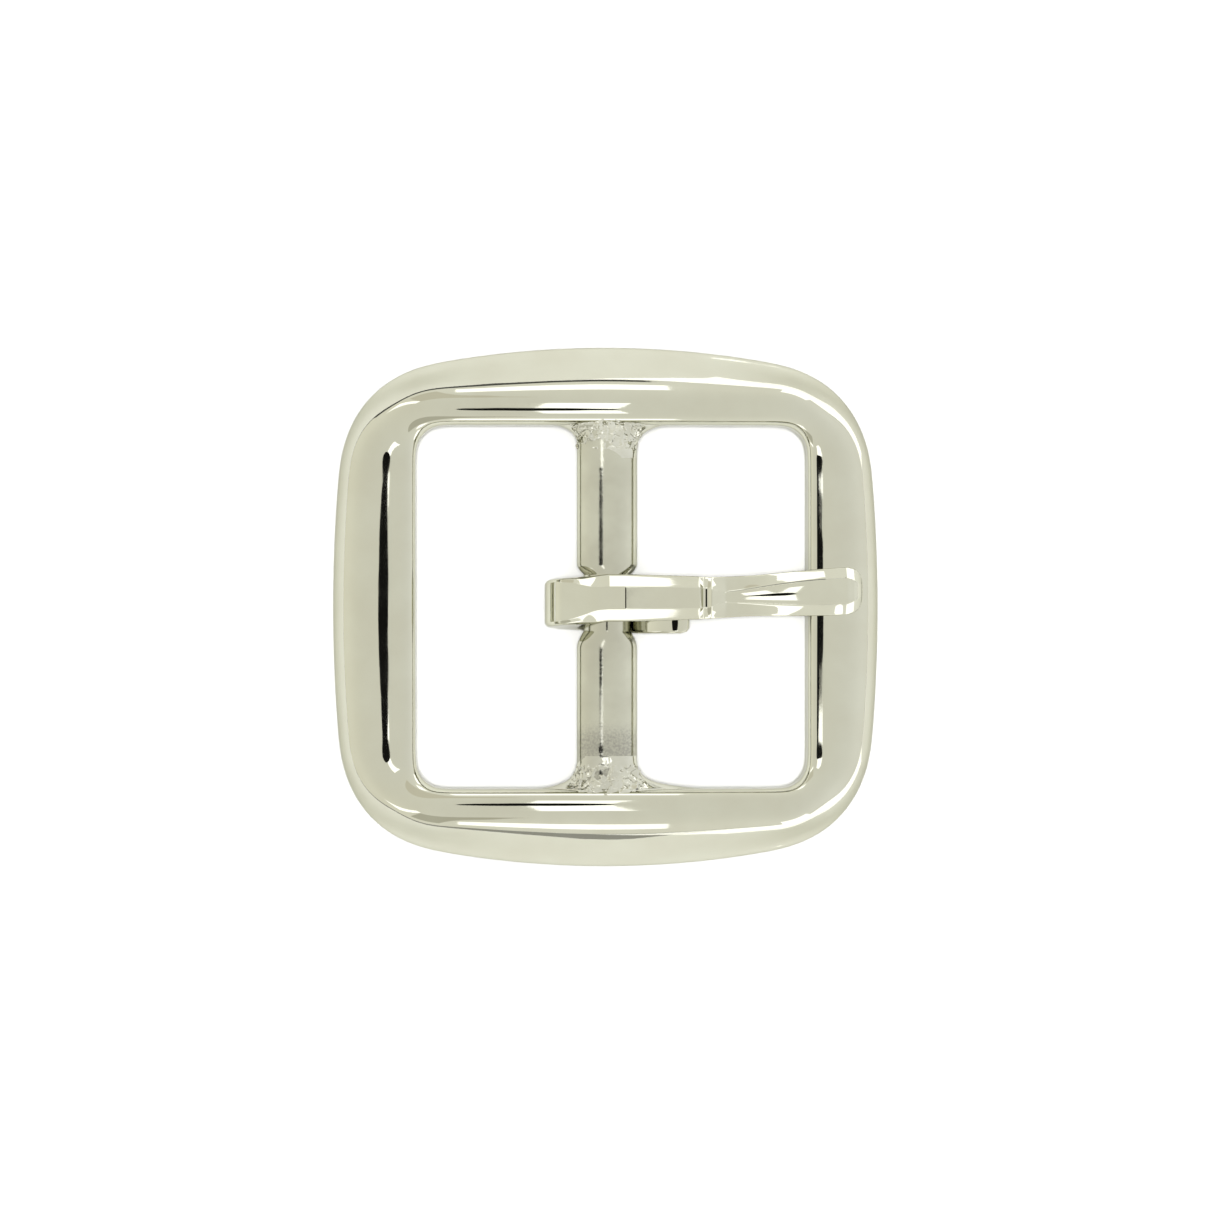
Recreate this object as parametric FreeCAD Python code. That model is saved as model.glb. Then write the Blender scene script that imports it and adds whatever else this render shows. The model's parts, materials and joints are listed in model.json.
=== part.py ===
import FreeCAD, Part
import math
import os

# Belt buckle with a centre bar and a prong, lying on its back. Millimetres.
# +Z is the front, +X runs from the bar to the prong's tip, Y runs along the bar.
# The origin is the middle of the plane that the buckle's back rests on.

# Surround: a cushion outline of three tangent arcs per quarter, round a square window.
STRAP_WIDTH = 32.0
WINDOW_LENGTH = 34.6
WINDOW_CORNER_R = 2.4
RING_LENGTH = 48.4
RING_WIDTH = 46.0
END_ARC_R = 83.5
SIDE_ARC_R = 138.7
CORNER_ARC_R = 9.56
CORNER_RISE = 0.6
ARCH_RISE = 0.4
GRIND_ALLOWANCE = 0.06
RUN_STEPS = 6

# Rail sections as points from the inner foot, over the crown, to the outer foot: the share of the
# rail's width from its inner edge, and the height above its back. The crown is near the inner edge.
# An end rail falls to its outer edge in one steep face; a side rail is flatter with a round shoulder.
# The back between the two feet is flat.
END_SECTION = [
    (0.09, 0.00), (0.03, 0.10), (0.00, 0.70), (0.00, 2.30), (0.004, 4.10), (0.045, 4.94),
    (0.12, 5.22), (0.21, 5.29), (0.29, 5.25), (0.375, 5.10), (0.46, 4.83), (0.561, 4.31),
    (0.68, 3.41), (0.82, 2.24), (0.95, 1.13), (1.00, 0.60), (0.985, 0.14), (0.93, 0.00),
]
SIDE_SECTION = [
    (0.09, 0.00), (0.03, 0.10), (0.00, 0.70), (0.00, 2.00), (0.003, 3.40), (0.03, 4.15),
    (0.095, 4.44), (0.24, 4.575), (0.37, 4.60), (0.50, 4.56), (0.64, 4.40), (0.78, 4.00),
    (0.90, 3.25), (0.97, 2.25), (1.00, 1.20), (0.99, 0.50), (0.955, 0.10), (0.90, 0.00),
]
SIDE_CROWN = SIDE_SECTION[8]

# Centre bar: a flattened rod, pared to a round neck where the prong turns.
BAR_WIDTH = 5.5
BAR_HEIGHT = 3.7
BAR_CORNER_R = 1.5
BAR_AXIS_Z = 3.8
NECK_R = 2.05
NECK_Y = 0.27
NECK_HALF_LENGTH = 2.75
NECK_TAPER = 2.2
SEAT_DEPTH = 2.0

# Braze fillets: a collar of filler metal that flares from the bar to the surround.
# Each pair is a share of the collar's length, from the bar's end of it, and a share of its flare.
COLLAR_LENGTH = 2.1
COLLAR_FLARE_X = 1.6
COLLAR_FLARE_Z = 0.45
COLLAR_SEAT = 0.4
COLLAR_CURVE = [(0.0, 0.04), (0.4, 0.14), (0.7, 0.36), (0.9, 0.70), (1.0, 1.0)]

# Prong: one thick strip bent round the neck, with its end closed under the front.
PRONG_Y = 0.8
PRONG_WIDTH = 4.15
PRONG_SKEW_DEG = 1.8
LOOP_CLEARANCE = 0.10
LOOP_R = NECK_R + LOOP_CLEARANCE
LOOP_SQUARENESS = 3.0
LOOP_START_DEG = 90
LOOP_END_DEG = 340
LOOP_STEPS = 20
FRONT_THICKNESS = 1.75
BEND_REACH = 5.5
BACK_THICKNESS = 1.45
FRONT_FLAT = 2.05
BEVEL_SHOULDER = 0.12
STEP_X = 7.9
SHANK_X = 10.0
SHANK_THICKNESS = 1.95
REST_GAP = 0.10
TIP_X = 22.4
TIP_CHAMFER = 0.8
TAIL_SHIFT = -1.05
TAIL_THICKNESS = 1.25
TAIL_GAP = 0.12
TAIL_END_X = 7.2


def point(x, y, z):
    return FreeCAD.Vector(x, y, z)


def mirrored(shape, normal):
    return shape.mirror(point(0, 0, 0), normal)


# ---------------------------------------------------------------- surround

def corner_arc_centre():
    """Centre of the corner arc, which touches the end arc and the side arc from inside."""
    end_y = RING_WIDTH / 2 - END_ARC_R
    side_x = RING_LENGTH / 2 - SIDE_ARC_R
    to_end = END_ARC_R - CORNER_ARC_R
    to_side = SIDE_ARC_R - CORNER_ARC_R
    span = math.hypot(side_x, end_y)
    along = (to_end ** 2 - to_side ** 2 + span ** 2) / (2 * span)
    across = math.sqrt(to_end ** 2 - along ** 2)
    ux, uy = side_x / span, -end_y / span
    return ux * along + uy * across, end_y + uy * along - ux * across


def arc_point(centre_x, centre_y, radius, angle):
    return centre_x + radius * math.cos(angle), centre_y + radius * math.sin(angle)


def rail_stations():
    """Inner and outer outline points of the end rail at +Y, one corner, and the side rail at +X."""
    cx, cy = corner_arc_centre()
    end_y = RING_WIDTH / 2 - END_ARC_R
    side_x = RING_LENGTH / 2 - SIDE_ARC_R
    end_angle = math.atan2(cy - end_y, cx)
    side_angle = math.atan2(cy, cx - side_x)
    ix = WINDOW_LENGTH / 2 - WINDOW_CORNER_R
    iy = STRAP_WIDTH / 2 - WINDOW_CORNER_R
    end_rail, corner, side_rail = [], [], []
    for i in range(-RUN_STEPS, RUN_STEPS + 1):
        share = i / RUN_STEPS
        angle = math.pi / 2 + (end_angle - math.pi / 2) * share
        end_rail.append(((ix * share, STRAP_WIDTH / 2), arc_point(0, end_y, END_ARC_R, angle)))
        outer = arc_point(side_x, 0, SIDE_ARC_R, side_angle * share)
        side_rail.append(((WINDOW_LENGTH / 2, iy * share), outer))
    for i in range(RUN_STEPS + 1):
        share = i / RUN_STEPS
        inner = arc_point(ix, iy, WINDOW_CORNER_R, math.pi / 2 * (1 - share))
        angle = end_angle + (side_angle - end_angle) * share
        corner.append((inner, arc_point(cx, cy, CORNER_ARC_R, angle)))
    return end_rail, corner, side_rail


def arch_height(x, side_share):
    """Rise of the back above the rest plane: highest at the bar, none on the side rails."""
    bow = 1 - (2 * x / WINDOW_LENGTH) ** 2
    return (1 - side_share) * (CORNER_RISE + ARCH_RISE * bow)


def rail_section(inner, outer, side_share):
    """Section wire at one station, blended from an end rail's (0) to a side rail's (1)."""
    base = arch_height(inner[0], side_share) - GRIND_ALLOWANCE
    dome = []
    for end, side in zip(END_SECTION, SIDE_SECTION):
        share = end[0] + (side[0] - end[0]) * side_share
        height = end[1] + (side[1] - end[1]) * side_share
        x = inner[0] + (outer[0] - inner[0]) * share
        y = inner[1] + (outer[1] - inner[1]) * share
        dome.append(point(x, y, base + height))
    crown = Part.BSplineCurve()
    crown.interpolate(dome)
    return Part.Wire([crown.toShape(), Part.makeLine(dome[-1], dome[0])])


def rail_loft(run, side_shares):
    sections = [rail_section(inner, outer, share) for (inner, outer), share in zip(run, side_shares)]
    return Part.makeLoft(sections, True, False)


def frame_ring():
    """End rail, corner and side rail lofted one by one and mirrored, then ground flat on the back."""
    end_run, corner_run, side_run = rail_stations()
    turn = [i / RUN_STEPS for i in range(RUN_STEPS + 1)]
    end_rail = rail_loft(end_run, [0] * len(end_run))
    corner = rail_loft(corner_run, [t * t * (3 - 2 * t) for t in turn])
    side_rail = rail_loft(side_run, [1] * len(side_run))
    other_side = [mirrored(corner, point(1, 0, 0)), mirrored(side_rail, point(1, 0, 0))]
    half = end_rail.fuse([corner, side_rail] + other_side)
    ring = half.fuse(mirrored(half, point(0, 1, 0))).removeSplitter()
    corner_point = point(-RING_LENGTH, -RING_WIDTH, -1)
    return ring.cut(Part.makeBox(2 * RING_LENGTH, 2 * RING_WIDTH, 1, corner_point))


# ---------------------------------------------------------------- centre bar and its joints

def bar_section(y, width, height, corner_r):
    """Flattened rod section across the bar at station y: a rectangle with round corners."""
    half_x, half_z = width / 2, height / 2
    in_x, in_z = half_x - corner_r, half_z - corner_r
    mid = corner_r * math.cos(math.pi / 4)
    edges = []
    last = None
    for sx, sz in [(1, 1), (-1, 1), (-1, -1), (1, -1)]:
        side = point(sx * half_x, y, BAR_AXIS_Z + sz * in_z)
        face = point(sx * in_x, y, BAR_AXIS_Z + sz * half_z)
        middle = point(sx * (in_x + mid), y, BAR_AXIS_Z + sz * (in_z + mid))
        start, end = (side, face) if sx == sz else (face, side)
        if last:
            edges.append(Part.makeLine(last, start))
        edges.append(Part.Arc(start, middle, end).toShape())
        last = end
    first = point(half_x, y, BAR_AXIS_Z + in_z)
    edges.append(Part.makeLine(last, first))
    return Part.Wire(edges)


def bar_arm(side):
    """One arm of the bar: it widens from the neck, then runs into the surround's inner wall."""
    neck_end = NECK_Y + side * NECK_HALF_LENGTH
    full = neck_end + side * NECK_TAPER
    root = side * (STRAP_WIDTH / 2 + SEAT_DEPTH)
    pared = bar_section(neck_end, 2 * NECK_R, 2 * NECK_R, 0.98 * NECK_R)
    taper = Part.makeLoft([pared, bar_section(full, BAR_WIDTH, BAR_HEIGHT, BAR_CORNER_R)], True, True)
    arm = Part.Face(bar_section(full, BAR_WIDTH, BAR_HEIGHT, BAR_CORNER_R))
    return taper.fuse(arm.extrude(point(0, root - full, 0)))


def center_bar(ring):
    start = point(0, NECK_Y - NECK_HALF_LENGTH, BAR_AXIS_Z)
    neck = Part.makeCylinder(NECK_R, 2 * NECK_HALF_LENGTH, start, point(0, 1, 0))
    return neck.fuse([bar_arm(1), bar_arm(-1)]).removeSplitter().cut(ring)


def braze_fillet(side, bar, ring):
    """Flared collar between the bar's end and the surround, hollow where the bar passes."""
    wall = side * STRAP_WIDTH / 2
    sections = []
    for along, flare in COLLAR_CURVE + [(1 + COLLAR_SEAT / COLLAR_LENGTH, 1.0)]:
        y = wall - side * COLLAR_LENGTH * (1 - along)
        width = BAR_WIDTH + 2 * COLLAR_FLARE_X * flare
        height = BAR_HEIGHT + 2 * COLLAR_FLARE_Z * flare
        sections.append(bar_section(y, width, height, BAR_CORNER_R + COLLAR_FLARE_Z * flare))
    return Part.makeLoft(sections, True, True).cut(ring).cut(bar)


# ---------------------------------------------------------------- prong

def strip_section(centre, out, y, thickness, width, flat):
    """Strip section at centre (x, z): bevelled on the side that faces out, flat on the other."""
    half = thickness / 2
    shoulder = thickness * BEVEL_SHOULDER
    outline = [
        (-half, -width / 2),
        (shoulder, -width / 2),
        (half, -flat / 2),
        (half, flat / 2),
        (shoulder, width / 2),
        (-half, width / 2),
    ]
    corners = []
    for rise, across in outline:
        corners.append(point(centre[0] + out[0] * rise, y + across, centre[1] + out[1] * rise))
    return Part.makePolygon(corners + [corners[0]])


def bend_radius(angle):
    """Outer radius of the bend at an angle about the bar: a rounded square that reaches to -X."""
    high = LOOP_R + (FRONT_THICKNESS if math.sin(angle) > 0 else BACK_THICKNESS)
    reach = BEND_REACH if math.cos(angle) < 0 else LOOP_R + BACK_THICKNESS
    across = (abs(math.cos(angle)) / reach) ** LOOP_SQUARENESS
    up = (abs(math.sin(angle)) / high) ** LOOP_SQUARENESS
    return (across + up) ** (-1 / LOOP_SQUARENESS)


def bend_station(degrees):
    """Centre, outward direction and thickness of the strip at an angle about the bar."""
    angle = math.radians(degrees)
    out = (math.cos(angle), math.sin(angle))
    outer = bend_radius(angle)
    middle = (LOOP_R + outer) / 2
    return (middle * out[0], BAR_AXIS_Z + middle * out[1]), out, outer - LOOP_R


def prong_loop():
    """The bend round the neck, from over the bar, round its far side and up behind it."""
    sections = []
    for i in range(LOOP_STEPS + 1):
        degrees = LOOP_START_DEG + (LOOP_END_DEG - LOOP_START_DEG) * i / LOOP_STEPS
        centre, out, thickness = bend_station(degrees)
        shift = TAIL_SHIFT * min(1.0, (degrees - LOOP_START_DEG) / 180)
        sections.append(strip_section(centre, out, PRONG_Y + shift, thickness, PRONG_WIDTH, FRONT_FLAT))
    return Part.makeLoft(sections, True, False)


def prong_tail():
    """The strip's end, brought up beside the bar to lie under the front of the prong."""
    run_z = BAR_AXIS_Z + LOOP_R - TAIL_GAP - TAIL_THICKNESS / 2
    path = [
        (LOOP_R + 1.20, BAR_AXIS_Z + 0.15, -30, TAIL_THICKNESS),
        (LOOP_R + 2.00, run_z - 0.30, -62, TAIL_THICKNESS),
        (LOOP_R + 3.05, run_z, -90, TAIL_THICKNESS),
        (TAIL_END_X - 0.35, run_z, -90, TAIL_THICKNESS),
        (TAIL_END_X, run_z, -90, TAIL_THICKNESS * 0.6),
    ]
    y = PRONG_Y + TAIL_SHIFT
    centre, out, thickness = bend_station(LOOP_END_DEG)
    sections = [strip_section(centre, out, y, thickness, PRONG_WIDTH, FRONT_FLAT)]
    for x, z, facing, thickness in path:
        out = (math.cos(math.radians(facing)), math.sin(math.radians(facing)))
        sections.append(strip_section((x, z), out, y, thickness, PRONG_WIDTH, FRONT_FLAT))
    return Part.makeLoft(sections, True, True)


def prong_shank():
    """Front of the prong: flat over the bar, a step, then a faceted shank down to the tip."""
    front_z = BAR_AXIS_Z + LOOP_R
    rest_z = SIDE_CROWN[1] + REST_GAP
    crown_x = WINDOW_LENGTH / 2 + SIDE_CROWN[0] * (RING_LENGTH - WINDOW_LENGTH) / 2
    # x, height of the underside, thickness, width, width of the flat on top
    stations = [
        (0.0, front_z, FRONT_THICKNESS, PRONG_WIDTH, FRONT_FLAT),
        (STEP_X, front_z, FRONT_THICKNESS, PRONG_WIDTH, FRONT_FLAT),
        (STEP_X + 0.5, front_z, 0.78 * FRONT_THICKNESS, PRONG_WIDTH - 0.15, FRONT_FLAT),
        (STEP_X + 1.2, front_z - 0.05, 0.80 * FRONT_THICKNESS, PRONG_WIDTH - 0.25, 1.3),
        (SHANK_X, front_z - 0.15, SHANK_THICKNESS, PRONG_WIDTH - 0.25, 0.7),
        (crown_x, rest_z, SHANK_THICKNESS + 0.15, PRONG_WIDTH - 0.1, 1.5),
        (TIP_X - TIP_CHAMFER, rest_z, SHANK_THICKNESS + 0.05, PRONG_WIDTH - 0.1, 1.9),
        (TIP_X, rest_z + 0.1, SHANK_THICKNESS - TIP_CHAMFER, PRONG_WIDTH - TIP_CHAMFER, FRONT_FLAT),
    ]
    skew = math.tan(math.radians(PRONG_SKEW_DEG))
    sections = []
    for x, underside, thickness, width, flat in stations:
        centre = (x, underside + thickness / 2)
        sections.append(strip_section(centre, (0, 1), PRONG_Y + skew * x, thickness, width, flat))
    return Part.makeLoft(sections, True, True)


def prong():
    return prong_loop().fuse([prong_shank(), prong_tail()]).removeSplitter()


def main():
    os.makedirs("parts", exist_ok=True)
    ring = frame_ring()
    bar = center_bar(ring)
    nodes = {
        "frame_ring": ring,
        "center_bar": bar,
        "upper_braze_fillet": braze_fillet(1, bar, ring),
        "lower_braze_fillet": braze_fillet(-1, bar, ring),
        "prong": prong(),
    }
    for name, shape in nodes.items():
        shape.exportStep("parts/" + name + ".step")


main()
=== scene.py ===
import json
import math

import bmesh
import bpy
import numpy as np
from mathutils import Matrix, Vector, noise


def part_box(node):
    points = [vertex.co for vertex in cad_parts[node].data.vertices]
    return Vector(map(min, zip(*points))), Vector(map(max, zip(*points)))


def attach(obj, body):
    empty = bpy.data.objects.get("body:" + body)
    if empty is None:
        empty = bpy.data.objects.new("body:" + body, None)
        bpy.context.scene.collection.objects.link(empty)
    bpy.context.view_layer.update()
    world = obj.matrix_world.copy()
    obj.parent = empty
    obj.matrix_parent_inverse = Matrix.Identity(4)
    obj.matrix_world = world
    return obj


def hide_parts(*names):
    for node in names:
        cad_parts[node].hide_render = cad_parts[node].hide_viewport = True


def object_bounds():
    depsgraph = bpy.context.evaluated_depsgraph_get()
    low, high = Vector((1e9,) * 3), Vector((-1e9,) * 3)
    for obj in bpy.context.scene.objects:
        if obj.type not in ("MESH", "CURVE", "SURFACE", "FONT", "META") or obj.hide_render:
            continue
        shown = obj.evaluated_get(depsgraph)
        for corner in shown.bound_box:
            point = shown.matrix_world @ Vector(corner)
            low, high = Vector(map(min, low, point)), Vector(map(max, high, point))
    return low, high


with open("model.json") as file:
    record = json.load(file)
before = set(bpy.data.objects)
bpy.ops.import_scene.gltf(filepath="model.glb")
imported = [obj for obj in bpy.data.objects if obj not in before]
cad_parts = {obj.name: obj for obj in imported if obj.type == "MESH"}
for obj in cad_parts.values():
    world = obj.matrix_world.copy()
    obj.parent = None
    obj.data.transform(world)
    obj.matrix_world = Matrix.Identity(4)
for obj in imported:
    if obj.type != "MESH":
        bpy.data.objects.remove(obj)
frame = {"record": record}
cad_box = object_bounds()

# Lengths in this script are millimetres until a mesh is made.
MM = 0.001


def box_mm(node):
    low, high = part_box(node)
    return np.array(low) / MM, np.array(high) / MM


ring_low, ring_high = box_mm("frame_ring")
bar_low, bar_high = box_mm("center_bar")
prong_low, prong_high = box_mm("prong")
hinge = np.array(frame["record"]["behaviour"]["joints"][0]["pos_m"]) / MM
AXIS_Z = hinge[2]
NECK_Y = hinge[1]

# ---------------------------------------------------------------- sizes
# These follow part.py, except where a comment says that the looks need something else.

RING_HALF_X = ring_high[0]
RING_HALF_Y = ring_high[1]
WINDOW_HALF_X = 17.3
WINDOW_HALF_Y = 16.0
WINDOW_CORNER_R = 2.4
END_ARC_R = 83.5
SIDE_ARC_R = 138.7
CORNER_ARC_R = 9.56
CORNER_RISE = 0.60
ARCH_RISE = 0.40
ARCH_HALF_SPAN = 17.3

# Rail sections, from the inner foot over the crown to the outer foot, then back along the flat:
# share of the rail's width from its inner edge, and height above the back.
END_SECTION = [
    (0.09, 0.00), (0.03, 0.10), (0.00, 0.70), (0.00, 2.30), (0.00, 4.00), (0.04, 4.90),
    (0.12, 5.22), (0.21, 5.29), (0.30, 5.24), (0.40, 5.03), (0.52, 4.55), (0.65, 3.65),
    (0.80, 2.40), (0.95, 1.13), (1.00, 0.60), (0.985, 0.14), (0.93, 0.00), (0.65, 0.0), (0.35, 0.0),
]
SIDE_SECTION = [
    (0.09, 0.00), (0.03, 0.10), (0.00, 0.70), (0.00, 2.00), (0.003, 3.40), (0.030, 4.15),
    (0.095, 4.44), (0.24, 4.575), (0.37, 4.60), (0.50, 4.56), (0.64, 4.40), (0.78, 4.00),
    (0.90, 3.25), (0.97, 2.25), (1.00, 1.20), (0.99, 0.50), (0.955, 0.10), (0.90, 0.00),
    (0.65, 0.0), (0.35, 0.0),
]
RAIL_WIDTH = 6.95
# Looks only: the left rail is the wider one, its crown leans outward, and the right rail's crown
# sits closer to the window.
WINDOW_SHIFT = 0.45
LEFT_ROLL = 0.2
RIGHT_SQUEEZE = 0.12
# Along the section, where an end rail's outer face starts to take up the change in rail width.
CROWN_KEPT_TO = 0.35
# The slow unevenness of hand polishing: height, wavelength and seed.
POLISH_WAVES = [(0.012, 6.5, 1), (0.005, 2.6, 2)]
POLISH_ALLOWANCE = 0.02

BAR_HALF_WIDTH = bar_high[0]
BAR_HALF_HEIGHT = 1.85
NECK_R = 2.05
NECK_HALF_LENGTH = 2.75
# Looks only: a short taper above the prong, and a bar that rolls, rises and bows a little.
NECK_TAPER_ABOVE = 0.9
NECK_TAPER_BELOW = 1.5
NECK_MARGIN_ABOVE = 0.15
NECK_MARGIN_BELOW = 0.35
BAR_ROLL = math.radians(5.5)
BAR_RISE = 0.0097
BAR_BOW = 0.0002
BAR_SIDE_GAP = 0.06

LOOP_R = NECK_R + 0.10
BEND_REACH = -prong_low[0]
TIP_X = prong_high[0]
FRONT_THICKNESS = 1.75
BACK_THICKNESS = 1.45
PRONG_Y = 0.8
PRONG_WIDTH = 4.15
PRONG_SKEW = math.tan(math.radians(1.8))
TAIL_SHIFT = -1.05
TAIL_THICKNESS = 1.25
TAIL_GAP = 0.12
TAIL_END_X = 7.2
STEP_X = 7.9
SHANK_X = 10.0
REST_Z = 4.70


# ---------------------------------------------------------------- curves and meshes

def closed_spline(points, count):
    """A smooth closed curve through the points, sampled at even steps of its chord length."""
    points = np.asarray(points, float)
    size = len(points)
    steps = np.linalg.norm(np.roll(points, -1, axis=0) - points, axis=1)
    matrix = np.zeros((size, size))
    right = np.zeros_like(points)
    for i in range(size):
        after = (i + 1) % size
        matrix[i, i - 1] += steps[i - 1]
        matrix[i, i] += 2 * (steps[i - 1] + steps[i])
        matrix[i, after] += steps[i]
        right[i] = 6 * ((points[after] - points[i]) / steps[i] - (points[i] - points[i - 1]) / steps[i - 1])
    bends = np.linalg.solve(matrix, right)
    knots = np.concatenate([[0.0], np.cumsum(steps)])
    at = np.linspace(0, knots[-1], count, endpoint=False)
    span = np.searchsorted(knots, at, side="right") - 1
    after = (span + 1) % size
    step = steps[span][:, None]
    a = (knots[span + 1] - at)[:, None] / step
    b = 1 - a
    curve = ((a ** 3 - a) * bends[span] + (b ** 3 - b) * bends[after]) * step ** 2 / 6
    return a * points[span] + b * points[after] + curve


def smoothstep(x):
    x = np.clip(x, 0.0, 1.0)
    return x * x * (3 - 2 * x)


def blurred_loop(values, sigma):
    """Gaussian blur of samples round a closed loop; sigma is in samples."""
    reach = int(math.ceil(3 * sigma))
    result = np.zeros_like(values)
    total = 0.0
    for k in range(-reach, reach + 1):
        weight = math.exp(-k * k / (2 * sigma * sigma))
        result += weight * np.roll(values, k, axis=0)
        total += weight
    return result / total


def waves(points, wavelength, seed):
    """Smooth noise between about -1 and 1 at each point."""
    offset = Vector((seed * 17.3, seed * 5.1, seed * 9.7))
    flat = points.reshape(-1, 3) / wavelength
    values = [noise.noise(Vector(p) + offset) for p in flat]
    return np.array(values).reshape(points.shape[:-1])


def grid_normals(grid, close_rows, close_columns):
    def slope(axis, closed):
        if closed:
            return np.roll(grid, -1, axis=axis) - np.roll(grid, 1, axis=axis)
        return np.gradient(grid, axis=axis)

    normals = np.cross(slope(0, close_rows), slope(1, close_columns))
    return normals / np.maximum(np.linalg.norm(normals, axis=2, keepdims=True), 1e-9)


def outward_normals(grid, close_rows):
    """Normals of a tube-like grid, turned to point away from the middle of each row."""
    normals = grid_normals(grid, close_rows, True)
    outward = np.sum(normals * (grid - grid.mean(axis=1, keepdims=True)), axis=2, keepdims=True)
    return normals * np.where(outward < 0, -1.0, 1.0)


def facets(points, size, seed):
    """Small flat chips at random tilts, between about -1 and 1 across a chip of the given size."""
    offset = Vector((seed * 3.7, seed * 8.3, seed * 1.9))
    result = []
    for p in points.reshape(-1, 3):
        place = Vector(p) / size + offset
        centre = noise.voronoi(place)[1][0]
        tilt = noise.cell_vector(centre * 7.0) * 2 - Vector((1, 1, 1))
        result.append((place - centre).dot(tilt))
    return np.array(result).reshape(points.shape[:-1])


def grid_object(name, grid, close_rows, cap=False):
    """A smooth-shaded mesh from a grid of points in mm. Columns always close into a loop.
    The UV map holds the distance along the rows and round the columns, in mm."""
    rows, columns = grid.shape[:2]
    count = rows if close_rows else rows - 1
    faces = []
    for i in range(count):
        below, above = i * columns, (i + 1) % rows * columns
        for j in range(columns):
            k = (j + 1) % columns
            faces.append((below + j, below + k, above + k, above + j))
    if cap:
        faces.append(tuple(range(columns))[::-1])
        faces.append(tuple((rows - 1) * columns + j for j in range(columns)))
    mesh = bpy.data.meshes.new(name)
    mesh.from_pydata((grid.reshape(-1, 3) * MM).tolist(), [], faces)
    along = np.linalg.norm(np.diff(grid.mean(axis=1), axis=0), axis=1)
    along = np.concatenate([[0.0], np.cumsum(along), [np.sum(along) + 1.0]])
    around = np.linalg.norm(np.roll(grid, -1, axis=1) - grid, axis=2).mean(axis=0)
    around = np.concatenate([[0.0], np.cumsum(around)])
    layer = mesh.uv_layers.new(name="lay")
    uv = []
    for i in range(count):
        for j in range(columns):
            for di, dj in ((0, 0), (0, 1), (1, 1), (1, 0)):
                uv.extend((along[i + di], around[j + dj]))
    if cap:
        uv.extend([0.0] * (4 * columns))
    layer.data.foreach_set("uv", uv)
    mesh.polygons.foreach_set("use_smooth", [True] * len(mesh.polygons))
    mesh.validate()
    tidy = bmesh.new()
    tidy.from_mesh(mesh)
    bmesh.ops.recalc_face_normals(tidy, faces=tidy.faces)
    tidy.to_mesh(mesh)
    tidy.free()
    piece = bpy.data.objects.new(name, mesh)
    bpy.context.collection.objects.link(piece)
    return piece


# ---------------------------------------------------------------- surround

def corner_arc_centre():
    end_y = RING_HALF_Y - END_ARC_R
    side_x = RING_HALF_X - SIDE_ARC_R
    to_end = END_ARC_R - CORNER_ARC_R
    to_side = SIDE_ARC_R - CORNER_ARC_R
    span = math.hypot(side_x, end_y)
    along = (to_end ** 2 - to_side ** 2 + span ** 2) / (2 * span)
    across = math.sqrt(to_end ** 2 - along ** 2)
    ux, uy = side_x / span, -end_y / span
    return ux * along + uy * across, end_y + uy * along - ux * across


def quarter_stations(steps):
    """One quarter from +Y to +X: inner point, outer point and how far the section is a side rail's."""
    cx, cy = corner_arc_centre()
    end_y = RING_HALF_Y - END_ARC_R
    side_x = RING_HALF_X - SIDE_ARC_R
    end_angle = math.atan2(cy - end_y, cx)
    side_angle = math.atan2(cy, cx - side_x)
    ix = WINDOW_HALF_X - WINDOW_CORNER_R
    iy = WINDOW_HALF_Y - WINDOW_CORNER_R
    t = np.arange(steps) / steps
    zero, one = np.zeros(steps), np.ones(steps)

    def arc(x, y, radius, angle):
        return x + radius * np.cos(angle), y + radius * np.sin(angle)

    ox, oy = arc(0, end_y, END_ARC_R, math.pi / 2 + (end_angle - math.pi / 2) * t)
    end_rail = np.stack([ix * t, WINDOW_HALF_Y * one, ox, oy, zero], axis=1)
    inx, iny = arc(ix, iy, WINDOW_CORNER_R, math.pi / 2 * (1 - t))
    ox, oy = arc(cx, cy, CORNER_ARC_R, end_angle + (side_angle - end_angle) * t)
    corner = np.stack([inx, iny, ox, oy, smoothstep(t)], axis=1)
    ox, oy = arc(side_x, 0, SIDE_ARC_R, side_angle * (1 - t))
    side_rail = np.stack([WINDOW_HALF_X * one, iy * (1 - t), ox, oy, one], axis=1)
    last = np.array([[WINDOW_HALF_X, 0, RING_HALF_X, 0, 1.0]])
    return np.concatenate([end_rail, corner, side_rail, last])


def ring_stations(count):
    """Stations evenly spaced round the whole ring, with the joints between arcs softened."""
    quarter = quarter_stations(400)
    right = np.concatenate([quarter, (quarter * [1, -1, 1, -1, 1])[-2::-1]])
    whole = np.concatenate([right, (right * [-1, 1, -1, 1, 1])[-2:0:-1]])
    middle = (whole[:, 0:2] + whole[:, 2:4]) / 2
    steps = np.linalg.norm(np.roll(middle, -1, axis=0) - middle, axis=1)
    knots = np.concatenate([[0.0], np.cumsum(steps)])
    closed = np.concatenate([whole, whole[:1]])
    at = np.linspace(0, knots[-1], count, endpoint=False)
    even = np.stack([np.interp(at, knots, closed[:, k]) for k in range(5)], axis=1)
    spacing = knots[-1] / count
    return blurred_loop(even, 1.1 / spacing)


def rail_curve(section, count):
    points = np.array(section) * [RAIL_WIDTH, 1.0]
    return closed_spline(points, count) / [RAIL_WIDTH, 1.0]


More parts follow.
